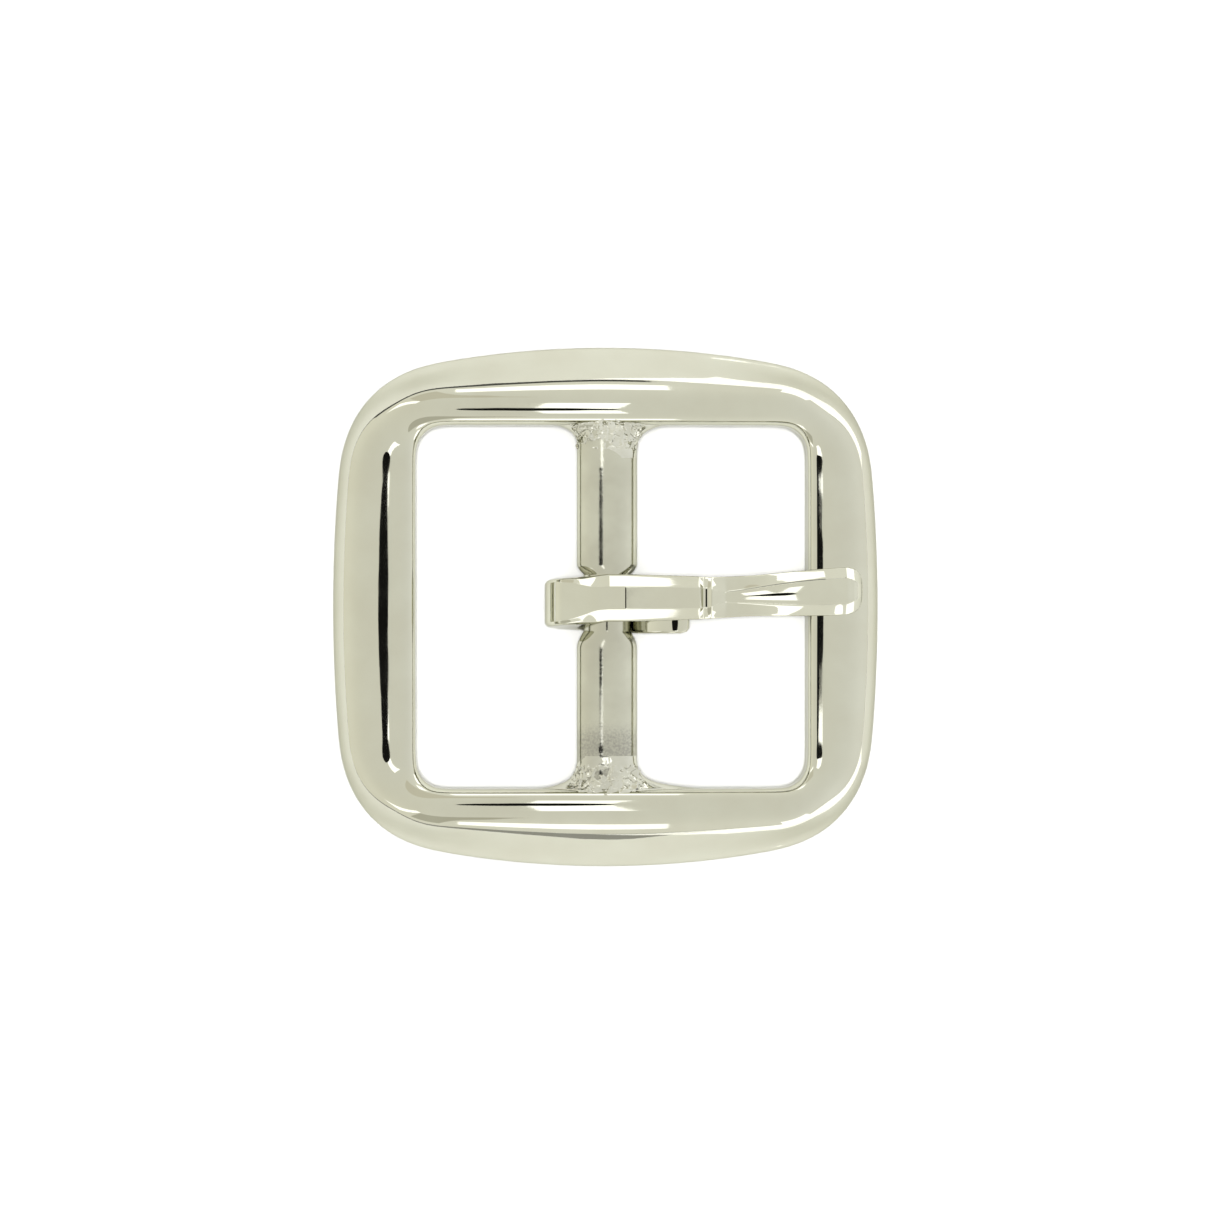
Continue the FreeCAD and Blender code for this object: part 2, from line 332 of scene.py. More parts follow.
def build_ring():
    rows, columns = 480, 132
    stations = ring_stations(rows)
    end_curve = rail_curve(END_SECTION, columns)
    side_curve = rail_curve(SIDE_SECTION, columns)
    blend = stations[:, 4][:, None]
    share = end_curve[:, 0] * (1 - blend) + side_curve[:, 0] * blend
    height = end_curve[:, 1] * (1 - blend) + side_curve[:, 1] * blend
    inner, outer = stations[:, 0:2], stations[:, 2:4]
    # on an end rail the crown keeps its distance from the window, and the outer face takes up
    # what the rail loses in width
    width = np.linalg.norm(outer - inner, axis=1)[:, None]
    kept = share * RAIL_WIDTH / width
    taken_up = smoothstep((share - CROWN_KEPT_TO) / (1 - CROWN_KEPT_TO)) * np.sign(share)
    squeezed = kept - (kept.max(axis=1, keepdims=True) - 1) * taken_up
    share = share + (1 - blend) * (np.minimum(squeezed, 1.0) - share)
    right = blend * (inner[:, 0:1] > 0)
    share = share - RIGHT_SQUEEZE * right * np.sin(np.clip(share, 0, 1) * math.pi)
    flat = inner[:, None, :] + (outer - inner)[:, None, :] * share[:, :, None]
    flat[:, :, 0] += WINDOW_SHIFT * (1 - share)
    left = blend * (inner[:, 0:1] < 0)
    height = height + LEFT_ROLL * left * (share - 0.45) * smoothstep(height - 2.5)
    bow = CORNER_RISE + ARCH_RISE * (1 - (inner[:, 0] / ARCH_HALF_SPAN) ** 2)
    rise = (1 - stations[:, 4]) * bow
    grid = np.concatenate([flat, (rise[:, None] + height)[:, :, None]], axis=2)
    # the slow unevenness of hand polishing, kept off the flat back
    normals = grid_normals(grid, True, True)
    lift = sum(size * waves(grid, length, seed) for size, length, seed in POLISH_WAVES)
    top = smoothstep((grid[:, :, 2] - 1.0) / 1.5)
    grid = grid + normals * ((lift - POLISH_ALLOWANCE) * top)[:, :, None]
    grid[:, :, 2] = np.maximum(grid[:, :, 2], 0.0)
    return grid_object("surround", grid, True)


# ---------------------------------------------------------------- centre bar

def rod_section(half_x, half_z, squareness, count):
    """Rounded bar section: an ellipse at squareness 2, squarer above that, sampled evenly."""
    turn = np.linspace(0, 2 * math.pi, 1441)
    c, q = np.cos(turn), np.sin(turn)
    x = half_x * np.sign(c) * np.abs(c) ** (2 / squareness)
    z = half_z * np.sign(q) * np.abs(q) ** (2 / squareness)
    knots = np.concatenate([[0.0], np.cumsum(np.hypot(np.diff(x), np.diff(z)))])
    at = np.linspace(0, knots[-1], count, endpoint=False)
    return np.stack([np.interp(at, knots, x), np.interp(at, knots, z)], axis=1)


def build_bar():
    rows, columns = 420, 120
    ys = np.linspace(bar_low[1], bar_high[1], rows)
    above = ys > NECK_Y
    away = abs(ys - NECK_Y) - NECK_HALF_LENGTH + np.where(above, NECK_MARGIN_ABOVE, NECK_MARGIN_BELOW)
    full = np.sin(np.clip(away / np.where(above, NECK_TAPER_ABOVE, NECK_TAPER_BELOW), 0, 1) * math.pi / 2)
    grid = np.zeros((rows, columns, 3))
    for i, (y, f) in enumerate(zip(ys, full)):
        half_x = NECK_R + (BAR_HALF_WIDTH - BAR_SIDE_GAP - NECK_R) * f
        half_z = NECK_R + (BAR_HALF_HEIGHT - NECK_R) * f
        section = rod_section(half_x, half_z, 2 + 0.35 * f, columns)
        roll = BAR_ROLL * f
        grid[i, :, 0] = section[:, 0] + roll * section[:, 1] * (1 - (section[:, 0] / half_x) ** 2)
        grid[i, :, 1] = y
        bow = (BAR_RISE * y - BAR_BOW * y ** 2) * f * smoothstep((15.0 - abs(y)) / 3.0)
        grid[i, :, 2] = AXIS_Z + section[:, 1] - roll * section[:, 0] + bow
    normals = outward_normals(grid, False)
    upper = smoothstep((grid[:, :, 1] - 10.5) / 3.0)
    lower = smoothstep((-9.5 - grid[:, :, 1]) / 2.5)
    lift = 0.003 * waves(grid, 3.4, 3) * full[:, None]
    lift += upper * (0.005 * waves(grid, 0.9, 4) + 0.003 * waves(grid, 0.25, 5))
    lift += lower * (0.003 * waves(grid, 0.7, 6) + 0.005 * waves(grid, 0.22, 7))
    grid = grid + normals * (lift - 0.03 * full[:, None])[:, :, None]
    return grid_object("bar", grid, False, cap=True)


# ---------------------------------------------------------------- braze fillets

def fillet_flare(gap, radius, run_out):
    """How far the filler reaches sideways at a distance from the rail: an arc, or a long run-out."""
    arc = radius - np.sqrt(np.maximum(0, radius ** 2 - (radius - np.minimum(gap, radius)) ** 2))
    tail = run_out * np.exp(-gap / 0.42)
    return arc + tail


def build_fillet(name, side, left_r, right_r, left_run, right_run, seed):
    rows, columns = 110, 260
    gaps = np.concatenate([np.linspace(2.9, 0.0, rows - 6), np.linspace(-0.1, -0.6, 6)])
    grid = np.zeros((rows, columns, 3))
    section = rod_section(BAR_HALF_WIDTH - BAR_SIDE_GAP, BAR_HALF_HEIGHT, 2.75, columns)
    sideways = np.abs(section[:, 0]) / BAR_HALF_WIDTH
    for i, gap in enumerate(gaps):
        reach = max(gap, 0.0)
        spread = np.where(section[:, 0] < 0, fillet_flare(reach, left_r, left_run),
                          fillet_flare(reach, right_r, right_run))
        up = 0.30 * math.exp(-reach / 0.7)
        grid[i, :, 0] = section[:, 0] + np.sign(section[:, 0]) * spread * sideways ** 2.5
        grid[i, :, 1] = side * (WINDOW_HALF_Y - gap)
        thin = 1 - np.minimum(0.55, 0.10 * spread) * sideways ** 4
        grid[i, :, 2] = AXIS_Z + section[:, 1] * (1 + up / BAR_HALF_HEIGHT) * thin
    normals = outward_normals(grid, False)
    edge = smoothstep((2.9 - gaps) / 0.8)[:, None]
    near = smoothstep((2.3 - gaps) / 0.5)[:, None]
    on_face = smoothstep((grid[:, :, 2] - AXIS_Z) / 0.9) * smoothstep((3.5 - abs(grid[:, :, 0])) / 0.7)
    chips = (0.24 * facets(grid, 0.66, seed) + 0.06 * facets(grid, 0.36, seed + 3)) * on_face
    grain = 0.008 * waves(grid, 0.20, seed + 2)
    grid = grid + normals * (chips * near + grain * edge + 0.07 * edge - 0.09)[:, :, None]
    middle = grid.mean(axis=1, keepdims=True)
    closed = np.concatenate([grid, (middle + (grid - middle) * 0.8)[::-1]])
    return grid_object(name, closed, True)


# ---------------------------------------------------------------- prong

def rounded_polygon(corners, radius, per_corner=5, per_edge=4):
    """Polygon with each corner rounded, as a fixed number of points."""
    corners = np.asarray(corners, float)
    size = len(corners)
    result = []
    for i in range(size):
        here, before, after = corners[i], corners[i - 1], corners[(i + 1) % size]
        to_before, to_after = before - here, after - here
        cut_before = min(radius, 0.45 * np.linalg.norm(to_before))
        cut_after = min(radius, 0.45 * np.linalg.norm(to_after))
        start = here + to_before / np.linalg.norm(to_before) * cut_before
        end = here + to_after / np.linalg.norm(to_after) * cut_after
        for t in np.linspace(0, 1, per_corner):
            result.append((1 - t) ** 2 * start + 2 * t * (1 - t) * here + t ** 2 * end)
        next_cut = min(radius, 0.45 * np.linalg.norm(to_after))
        next_start = after - to_after / np.linalg.norm(to_after) * next_cut
        for t in np.linspace(0, 1, per_edge + 2)[1:-1]:
            result.append(end + (next_start - end) * t)
    return np.array(result)


def crowned(outline, thickness, flat, crown):
    """Raises the middle of the strip's outward flat a little, so that it isn't a dead plane."""
    top = outline[:, 1] > thickness / 2 - 0.02
    share = np.clip(np.abs(outline[:, 0]) / (flat / 2), 0, 1)
    result = outline.copy()
    result[:, 1] -= np.where(top, crown * share ** 2, 0.0)
    return result


def strip_outline(thickness, width, flat, shoulder, step=0.02):
    """Strip section: across, and rise from its middle. Bevelled on the outward side."""
    half = thickness / 2
    return [
        (-width / 2, -half),
        (width / 2, -half),
        (width / 2, half - shoulder),
        (flat / 2 + step, half - step),
        (flat / 2, half),
        (-flat / 2, half),
        (-flat / 2 - step, half - step),
        (-width / 2, half - shoulder),
    ]


def bend_radius(angle):
    high = LOOP_R + (FRONT_THICKNESS if math.sin(angle) > 0 else BACK_THICKNESS)
    reach = BEND_REACH if math.cos(angle) < 0 else LOOP_R + BACK_THICKNESS
    power = 2.6 if math.cos(angle) < 0 else 3.0
    across = (abs(math.cos(angle)) / reach) ** power
    up = (abs(math.sin(angle)) / high) ** power
    radius = (across + up) ** (-1 / power)
    if math.sin(angle) > 0 and math.cos(angle) < 0.01:
        for tilt, x, z in FACETS:
            nx, nz = -math.sin(math.radians(tilt)), math.cos(math.radians(tilt))
            radius = min(radius, (nx * x + nz * z) / max(0.05, nx * math.cos(angle) + nz * math.sin(angle)))
    return radius


def tail_and_bend_stations():
    """x, z, facing angle, thickness, width, flat, shoulder, corner radius, y from the strip's end
    to the top of the bend."""
    run_z = AXIS_Z + LOOP_R - TAIL_GAP - TAIL_THICKNESS / 2
    y = PRONG_Y + TAIL_SHIFT
    wide, bevel = PRONG_WIDTH, 0.25
    rows = [
        (TAIL_END_X, run_z, -90, 0.55 * TAIL_THICKNESS, wide - 0.9, wide - 1.6, bevel, 0.20, y),
        (TAIL_END_X - 0.25, run_z, -90, 0.95 * TAIL_THICKNESS, wide - 0.3, wide - 0.9, bevel, 0.25, y),
        (TAIL_END_X - 0.8, run_z, -90, TAIL_THICKNESS, wide, wide - 0.6, bevel, 0.25, y),
        (LOOP_R + 3.05, run_z, -90, TAIL_THICKNESS, wide, wide - 0.6, bevel, 0.25, y),
        (LOOP_R + 2.00, run_z - 0.30, -62, TAIL_THICKNESS, wide, wide - 0.6, bevel, 0.25, y),
        (LOOP_R + 1.20, AXIS_Z + 0.15, -30, TAIL_THICKNESS, wide, wide - 0.6, bevel, 0.25, y),
    ]
    for degrees in list(range(340, 150, -5)) + list(range(150, 89, -2)):
        angle = math.radians(degrees)
        outer = bend_radius(angle)
        middle = (LOOP_R + outer) / 2
        facing = degrees - 360 if degrees > 180 else degrees
        shift = TAIL_SHIFT * min(1.0, (degrees - 90) / 180)
        round_off = smoothstep((degrees - 100) / 50)
        flat = FRONT_FLAT + (wide - 0.7 - FRONT_FLAT) * round_off
        shoulder = FRONT_SHOULDER + (bevel - FRONT_SHOULDER) * round_off
        corner = 0.10 + 0.45 * round_off
        rows.append((middle * math.cos(angle), AXIS_Z + middle * math.sin(angle), degrees,
                     outer - LOOP_R, wide, flat, shoulder, corner, PRONG_Y + shift))
    return rows


FRONT_FLAT = 1.95
FRONT_SHOULDER = 0.80
# the two hammered flats between the bend and the front: tilt, and a point in the plane
FACETS = [(5.0, 0.0, 3.77), (12.0, -0.9, 3.69)]


def front_stations():
    """x, underside z, thickness, width, flat, shoulder and crown along the front of the prong."""
    front_z = AXIS_Z + LOOP_R
    thick, wide = FRONT_THICKNESS, PRONG_WIDTH
    return [
        (0.0, front_z, thick - 0.13, wide, FRONT_FLAT, FRONT_SHOULDER, 0.0),
        (1.5, front_z, thick, wide, FRONT_FLAT, FRONT_SHOULDER, 0.0),
        (3.5, front_z, thick, wide - 0.10, FRONT_FLAT - 0.05, FRONT_SHOULDER, 0.0),
        (STEP_X - 0.15, front_z, thick, wide - 0.35, FRONT_FLAT - 0.15, FRONT_SHOULDER, 0.0),
        (STEP_X + 0.10, front_z, thick, wide - 0.38, FRONT_FLAT - 0.15, FRONT_SHOULDER - 0.06, 0.0),
        (STEP_X + 0.50, front_z, thick - 0.40, wide - 0.42, FRONT_FLAT - 0.25, FRONT_SHOULDER - 0.25, 0.0),
        (STEP_X + 0.85, front_z, thick - 0.38, wide - 0.45, FRONT_FLAT - 0.25, FRONT_SHOULDER - 0.25, 0.0),
        (STEP_X + 1.15, front_z - 0.05, thick - 0.14, wide - 0.48, FRONT_FLAT - 0.45,
         FRONT_SHOULDER - 0.05, 0.0),
        (SHANK_X + 0.3, 5.72, 1.16, wide - 0.52, 0.70, 0.42, 0.04),
        (10.9, 5.66, 1.14, wide - 0.56, 0.80, 0.42, 0.05),
        (12.2, 5.52, 1.31, wide - 0.58, 1.05, 0.50, 0.07),
        (13.4, 5.38, 1.49, wide - 0.52, 1.35, 0.56, 0.09),
        (14.4, 5.22, 1.70, wide - 0.42, 1.58, 0.64, 0.10),
        (15.4, 5.07, 1.93, wide - 0.30, 1.72, 0.70, 0.11),
        (16.6, 4.92, 2.14, wide - 0.18, 1.90, 0.76, 0.11),
        (17.7, REST_Z + 0.02, 2.36, wide - 0.10, 2.02, 0.80, 0.11),
        (19.4, REST_Z, 2.36, wide - 0.02, 2.12, 0.80, 0.10),
        (TIP_X - 1.35, REST_Z, 2.22, wide, 2.20, 0.80, 0.08),
        (TIP_X - 0.75, REST_Z + 0.03, 1.95, wide - 0.30, 1.75, 0.88, 0.0),
        (TIP_X - 0.35, REST_Z + 0.07, 1.55, wide - 0.85, 1.35, 0.80, 0.0),
        (TIP_X - 0.10, REST_Z + 0.12, 1.12, wide - 1.55, 1.15, 0.55, 0.0),
        (TIP_X, REST_Z + 0.22, 0.75, wide - 2.20, 1.0, 0.38, 0.0),
    ]


def evened_shank(xs, fine):
    """Averages the shank's stations over a short run, so that its flats curve without corners."""
    reach = 12
    weights = np.hanning(2 * reach + 3)[1:-1] / (reach + 1)
    padded = np.pad(fine, ((reach, reach), (0, 0)), mode="edge")
    even = np.stack([np.convolve(column, weights, "valid") for column in padded.T], axis=1)
    on_shank = smoothstep((xs - SHANK_X - 0.3) / 0.8) * smoothstep((TIP_X - 1.3 - xs) / 1.0)
    return fine + on_shank[:, None] * (even - fine)


def build_prong():
    sections = []

    def add(x, z, facing, thickness, width, flat, shoulder, corner, y, crown=0.0, step=0.02):
        out = (math.cos(math.radians(facing)), math.sin(math.radians(facing)))
        outline = rounded_polygon(strip_outline(thickness, width, flat, shoulder, step), corner)
        outline = crowned(outline, thickness, flat, crown)
        points = np.zeros((len(outline), 3))
        points[:, 0] = x + out[0] * outline[:, 1]
        points[:, 1] = y - outline[:, 0]
        points[:, 2] = z + out[1] * outline[:, 1]
        sections.append(points)

    bend = tail_and_bend_stations()
    for row in bend[:-1]:
        add(*row)
    stations = np.array(front_stations())
    ends = stations[(stations[:, 0] < SHANK_X) | (stations[:, 0] > TIP_X - 1.0), 0]
    xs = np.unique(np.concatenate([np.arange(0, TIP_X, 0.12), ends]))
    fine = np.stack([np.interp(xs, stations[:, 0], stations[:, k]) for k in range(1, 7)], axis=1)
    for x, (under, thickness, width, flat, shoulder, crown) in zip(xs, evened_shank(xs, fine)):
        skew = PRONG_SKEW * max(0.0, x - 9.0) * 1.6
        step = 0.02 + 0.12 * float(smoothstep((x - SHANK_X) / 0.6) * smoothstep((TIP_X - 0.9 - x) / 0.6))
        add(x, under + thickness / 2, 90, thickness, width, flat, shoulder, 0.08, PRONG_Y + skew, crown, step)
    grid = np.array(sections)
    piece = grid_object("prong_strip", grid, False, cap=True)
    weighted = piece.modifiers.new("even_facets", "WEIGHTED_NORMAL")
    weighted.weight = 80
    return piece


# ---------------------------------------------------------------- materials

def node_maker(material):
    tree = material.node_tree

    def make(kind, **settings):
        node = tree.nodes.new(kind)
        for key, value in settings.items():
            if key in node.inputs:
                node.inputs[key].default_value = value
            else:
                setattr(node, key, value)
        return node

    return make, tree.links.new


def add_patch(material, y_from, y_to, colour):
    """A darker, speckled patch of unpolished metal towards one end of a piece, along Y in metres."""
    make, link = node_maker(material)
    shader = material.node_tree.nodes["Principled BSDF"]
    base = shader.inputs["Base Color"].links[0].from_socket
    where = make("ShaderNodeTexCoord")
    parts = make("ShaderNodeSeparateXYZ")
    link(where.outputs["Object"], parts.inputs["Vector"])
    reach = make("ShaderNodeMapRange", interpolation_type="SMOOTHSTEP")
    reach.inputs["From Min"].default_value = y_from
    reach.inputs["From Max"].default_value = y_to
    link(parts.outputs["Y"], reach.inputs["Value"])
    speckle = make("ShaderNodeTexNoise", Scale=5200.0, Detail=4.0)
    link(where.outputs["Object"], speckle.inputs["Vector"])
    spots = make("ShaderNodeMapRange")
    spots.inputs["From Min"].default_value = 0.38
    spots.inputs["From Max"].default_value = 0.62
    spots.inputs["To Min"].default_value = 1.0
    spots.inputs["To Max"].default_value = 0.45
    link(speckle.outputs["Fac"], spots.inputs["Value"])
    amount = make("ShaderNodeMath", operation="MULTIPLY")
    link(reach.outputs["Result"], amount.inputs[0])
    link(spots.outputs["Result"], amount.inputs[1])
    mix = make("ShaderNodeMix", data_type="RGBA")
    mix.inputs[7].default_value = (*colour, 1)
    link(amount.outputs["Value"], mix.inputs[0])
    link(base, mix.inputs[6])
    link(mix.outputs[2], shader.inputs["Base Color"])


PIT_SCALE = 3000.0


def nickel(name, bright, dark, roughness, lines=0.0, grain=0.0):
    """Nickel plate: tint variation, hazy patches, fine polish lines along the piece, small pits."""
    material = bpy.data.materials.new(name)
    material.use_nodes = True
    make, link = node_maker(material)
    shader = material.node_tree.nodes["Principled BSDF"]
    shader.inputs["Metallic"].default_value = 1.0
    # Edge tint: partly nickel's own duller reflection at grazing angles, and partly painted shade, made
    # strong enough to darken the outer rims as the shaded floor right beside the piece would.
    shader.inputs["Specular Tint"].default_value = (0.55, 0.55, 0.50, 1)
    where = make("ShaderNodeTexCoord")
    lay = make("ShaderNodeUVMap", uv_map="lay")

    tint = make("ShaderNodeTexNoise", Scale=220.0, Detail=3.0)
    link(where.outputs["Object"], tint.inputs["Vector"])
    tint_mix = make("ShaderNodeMix", data_type="RGBA")
    tint_mix.inputs[6].default_value = (*dark, 1)
    tint_mix.inputs[7].default_value = (*bright, 1)
    tint_range = make("ShaderNodeMapRange")
    tint_range.inputs["From Min"].default_value = 0.35
    tint_range.inputs["From Max"].default_value = 0.65
    link(tint.outputs["Fac"], tint_range.inputs["Value"])
    link(tint_range.outputs["Result"], tint_mix.inputs[0])
    link(tint_mix.outputs[2], shader.inputs["Base Color"])

    haze = make("ShaderNodeTexNoise", Scale=400.0, Detail=4.0)
    link(where.outputs["Object"], haze.inputs["Vector"])
    haze_range = make("ShaderNodeMapRange")
    haze_range.inputs["From Min"].default_value = 0.3
    haze_range.inputs["From Max"].default_value = 0.7
    haze_range.inputs["To Min"].default_value = roughness[0]
    haze_range.inputs["To Max"].default_value = roughness[1]
    link(haze.outputs["Fac"], haze_range.inputs["Value"])
    link(haze_range.outputs["Result"], shader.inputs["Roughness"])

    stretch = make("ShaderNodeMapping")
    stretch.inputs["Scale"].default_value = (0.12, 7.0, 1.0)
    link(lay.outputs["UV"], stretch.inputs["Vector"])
    scratch = make("ShaderNodeTexNoise", Scale=1.0, Detail=4.0)
    link(stretch.outputs["Vector"], scratch.inputs["Vector"])
    scratch_bump = make("ShaderNodeBump", Strength=lines, Distance=0.00002)
    link(scratch.outputs["Fac"], scratch_bump.inputs["Height"])

    pits = make("ShaderNodeTexNoise", Scale=PIT_SCALE, Detail=5.0)
    link(where.outputs["Object"], pits.inputs["Vector"])
    pit_bump = make("ShaderNodeBump", Strength=grain, Distance=0.00003)
    link(pits.outputs["Fac"], pit_bump.inputs["Height"])
    link(scratch_bump.outputs["Normal"], pit_bump.inputs["Normal"])
    link(pit_bump.outputs["Normal"], shader.inputs["Normal"])
    return material


# ---------------------------------------------------------------- floor, light and camera

def emitter(name, colour, strength):
    material = bpy.data.materials.new(name)
    material.use_nodes = True
    tree = material.node_tree
    tree.nodes.clear()
    glow = tree.nodes.new("ShaderNodeEmission")
    glow.inputs["Color"].default_value = (*colour, 1)
    glow.inputs["Strength"].default_value = strength
    out = tree.nodes.new("ShaderNodeOutputMaterial")
    tree.links.new(glow.outputs["Emission"], out.inputs["Surface"])
    return material


def hidden_from_camera(name, mesh):
    """A piece of the stage that the metal reflects, and that the camera doesn't see."""
    piece = bpy.data.objects.new(name, mesh)
    piece.visible_camera = False
    piece.visible_diffuse = False
    piece.visible_shadow = False
    bpy.context.collection.objects.link(piece)
    return piece


def card(name, centre, half_x, half_y, material, round_card=False):
    """A flat card that faces the object."""
    mesh = bpy.data.meshes.new(name)
    if round_card:
        steps = 48
        turn = [2 * math.pi * i / steps for i in range(steps)]
        corners = [(half_x * math.cos(a), half_y * math.sin(a), 0) for a in turn]
    else:
        corners = [(-half_x, -half_y, 0), (half_x, -half_y, 0), (half_x, half_y, 0), (-half_x, half_y, 0)]
    mesh.from_pydata(corners, [], [tuple(range(len(corners)))])
    mesh.materials.append(material)
    piece = hidden_from_camera(name, mesh)
    piece.location = centre
    piece.rotation_euler = (target - Vector(centre)).to_track_quat("Z", "Y").to_euler()


def floor_card(name, corners, material):
    """A card that lies on the table beside the object, seen only in the metal."""
    mesh = bpy.data.meshes.new(name)
    mesh.from_pydata([(x * MM, y * MM, 0.0003) for x, y in corners], [], [tuple(range(len(corners)))])
    mesh.materials.append(material)
    hidden_from_camera(name, mesh)


def on_dome(azimuth, elevation, distance):
    """A point at a direction from the target: azimuth 0 is +X, 90 is +Y, in degrees."""
    a, e = math.radians(azimuth), math.radians(elevation)
    return target + distance * Vector((math.cos(e) * math.cos(a), math.cos(e) * math.sin(a), math.sin(e)))


target = Vector((0.0, 0.0, (cad_box[0][2] + cad_box[1][2]) / 2))
CAMERA_DISTANCE = 0.40
CAMERA_TILT = 2.0
FRAME_FILL = 0.4520


def build_camera():
    data = bpy.data.cameras.new("camera")
    width = (ring_high[0] - ring_low[0]) * MM / FRAME_FILL
    data.lens = data.sensor_width * CAMERA_DISTANCE / width
    camera = bpy.data.objects.new("camera", data)
    tilt = math.radians(CAMERA_TILT)
    camera.location = target + CAMERA_DISTANCE * Vector((-math.sin(tilt), 0, math.cos(tilt)))
    camera.rotation_euler = (0, -tilt, 0)
    bpy.context.collection.objects.link(camera)
    bpy.context.scene.camera = camera
    return camera


def build_world():
    """The light tent: slightly darker overhead than low down, slightly warmer on the -X side."""
    world = bpy.data.worlds.new("tent")
    world.use_nodes = True
    tree = world.node_tree
    make, link = tree.nodes.new, tree.links.new
    background = tree.nodes["Background"]
    background.inputs["Strength"].default_value = 1.0
    where = make("ShaderNodeTexCoord")
    parts = make("ShaderNodeSeparateXYZ")
    link(where.outputs["Generated"], parts.inputs["Vector"])
    height = make("ShaderNodeMapRange")
    height.interpolation_type = "SMOOTHSTEP"
    height.inputs["From Min"].default_value = 0.25
    height.inputs["From Max"].default_value = 1.0
    link(parts.outputs["Z"], height.inputs["Value"])
    tone = make("ShaderNodeMix")
    tone.data_type = "RGBA"
    tone.inputs[6].default_value = (1.08, 1.08, 1.06, 1)
    tone.inputs[7].default_value = (0.97, 0.97, 0.95, 1)
    link(height.outputs["Result"], tone.inputs[0])
    sideways = make("ShaderNodeMapRange")
    sideways.inputs["From Min"].default_value = -0.9
    sideways.inputs["From Max"].default_value = 0.9
    link(parts.outputs["X"], sideways.inputs["Value"])
    cast = make("ShaderNodeMix")
    cast.data_type = "RGBA"
    cast.inputs[6].default_value = (1.0, 0.985, 0.93, 1)
    cast.inputs[7].default_value = (1.0, 1.0, 1.02, 1)
    link(sideways.outputs["Result"], cast.inputs[0])
    both = make("ShaderNodeMix")
    both.data_type = "RGBA"
    both.blend_type = "MULTIPLY"
    both.inputs[0].default_value = 1.0
    link(tone.outputs[2], both.inputs[6])
    link(cast.outputs[2], both.inputs[7])
    link(both.outputs[2], background.inputs["Color"])
    bpy.context.scene.world = world
    world.cycles_visibility.diffuse = False


def soft_lamp(name, location, size, watts):
    data = bpy.data.lights.new(name, "AREA")
    data.shape = "DISK"
    data.size = size
    data.energy = watts
    lamp = bpy.data.objects.new(name, data)
    lamp.location = location
    lamp.rotation_euler = (Vector(location) - target).to_track_quat("Z", "Y").to_euler()
    lamp.visible_glossy = False
    bpy.context.collection.objects.link(lamp)


def build_floor():
    mesh = bpy.data.meshes.new("floor")
    half = 3.0
    corners = [(-half, -half, 0), (half, -half, 0), (half, half, 0), (-half, half, 0)]
    mesh.from_pydata(corners, [], [(0, 1, 2, 3)])
    floor = bpy.data.objects.new("floor", mesh)
    floor.location = (0, 0, -0.00005)
    material = bpy.data.materials.new("floor_paper")
    material.use_nodes = True
    shader = material.node_tree.nodes["Principled BSDF"]
    shader.inputs["Base Color"].default_value = (0.93, 0.93, 0.925, 1)
    shader.inputs["Roughness"].default_value = 0.9
    mesh.materials.append(material)
    bpy.context.collection.objects.link(floor)


# Cards on the table, as outlines in mm: white ones to the right, from the ring's edge outward, and
# the far seams above and below.
FLOOR_GLOWS = [
    [(0, 220), (3, 90), (8, 45), (11, 31), (17, 26), (27, 22), (32, 16), (170, 30), (170, 220)],
    [(170, -30), (32, -16), (27, -22), (17, -26), (12, -33), (9, -50), (6, -90), (3, -220), (170, -220)],
]
UPPER_SEAM = [(-420, 75), (-12, 75), (-2, 520), (-420, 520)]
LOWER_SEAM = [
    (-420, -100), (-80, -60), (-30, -46), (4, -46), (14, -62), (25, -120), (110, -520), (-420, -520),
]


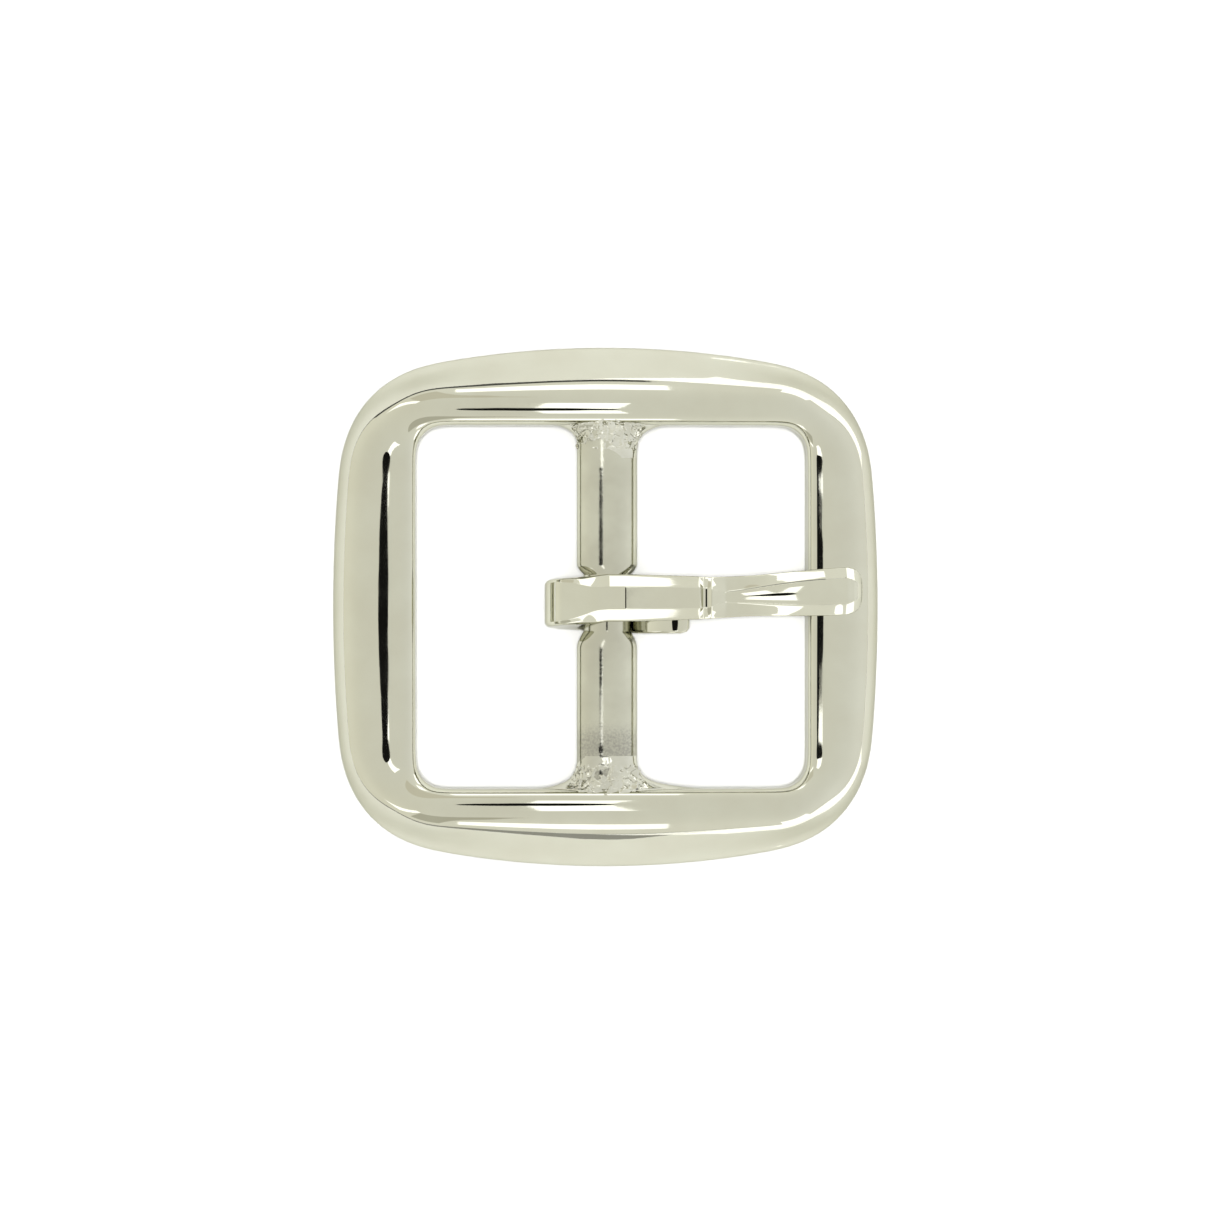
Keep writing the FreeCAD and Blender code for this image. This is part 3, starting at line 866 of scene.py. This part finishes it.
def build_stage(camera):
    bpy.context.scene.view_settings.view_transform = "Standard"
    build_world()
    build_floor()
    toward_camera = (camera.location - target).normalized()
    soft_lamp("key", target + 1.2 * toward_camera, 0.12, 9.0)
    soft_lamp("fill", target + Vector((0, 0, 1.0)), 1.2, 9.0)
    black = emitter("lens_black", (0.01, 0.01, 0.01), 1.0)
    white = emitter("softbox_white", (1, 1, 1.04), 2.1)
    grey = emitter("seam_grey", (0.12, 0.12, 0.125), 1.0)
    pale = emitter("seam_pale", (0.45, 0.45, 0.45), 1.0)
    tan = emitter("wall_tan", (0.84, 0.81, 0.72), 1.0)
    shade = emitter("wall_shade", (0.66, 0.65, 0.58), 1.0)
    card("lens", camera.location + 0.002 * toward_camera, 0.030, 0.030, black, True)
    for side in (1, -1):
        card("near_strip", target + Vector((0.004, side * 0.075, 0.42)), 0.016, 0.055, white)
        card("low_strip", on_dome(side * 90, 23, 0.60), 0.05, 0.085, white)
        card("corner_strip", on_dome(side * 60, 8, 0.60), 0.16, 0.10, white)
    card("wall", on_dome(116, 38, 0.62), 0.16, 0.20, tan)
    card("wall", on_dome(-114, 34, 0.62), 0.16, 0.20, shade)
    for side in (1, -1):
        card("left_strip", on_dome(side * 143, 36, 0.60), 0.035, 0.18, white)
    for outline in FLOOR_GLOWS:
        floor_card("floor_glow", outline, white)
    card("seam", on_dome(115, 1.0, 0.58), 0.32, 0.045, grey)
    floor_card("seam", UPPER_SEAM, grey)
    floor_card("seam", LOWER_SEAM, pale)


camera = build_camera()
build_stage(camera)

polished = nickel("nickel_surround", (0.60, 0.60, 0.495), (0.575, 0.57, 0.465), (0.02, 0.05),
                  lines=0.015, grain=0.01)
prong_metal = nickel("nickel_prong", (0.62, 0.62, 0.51), (0.59, 0.585, 0.475), (0.02, 0.06),
                     lines=0.015, grain=0.01)
bar_metal = nickel("nickel_bar", (0.58, 0.58, 0.475), (0.50, 0.495, 0.40), (0.07, 0.14),
                   lines=0.03, grain=0.12)
add_patch(bar_metal, -0.0098, -0.0120, (0.36, 0.355, 0.30))
braze_metal = nickel("nickel_braze", (0.66, 0.66, 0.57), (0.52, 0.515, 0.43), (0.04, 0.12), grain=0.18)

pieces = [
    (build_ring(), "buckle_frame", "frame_ring", "polished_surround", polished),
    (build_bar(), "buckle_frame", "center_bar", "cast_bar", bar_metal),
    (build_fillet("upper_fillet", 1, 1.5, 2.0, 0.8, 0.9, 11), "buckle_frame", "upper_braze_fillet",
     "braze_metal", braze_metal),
    (build_fillet("lower_fillet", -1, 2.3, 2.2, 1.6, 4.2, 21), "buckle_frame", "lower_braze_fillet",
     "braze_metal", braze_metal),
    (build_prong(), "prong_body", "prong", "polished_prong", prong_metal),
]
for piece, body, node, slot, material in pieces:
    piece.data.materials.append(material)
    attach(piece, body)
    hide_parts(node)
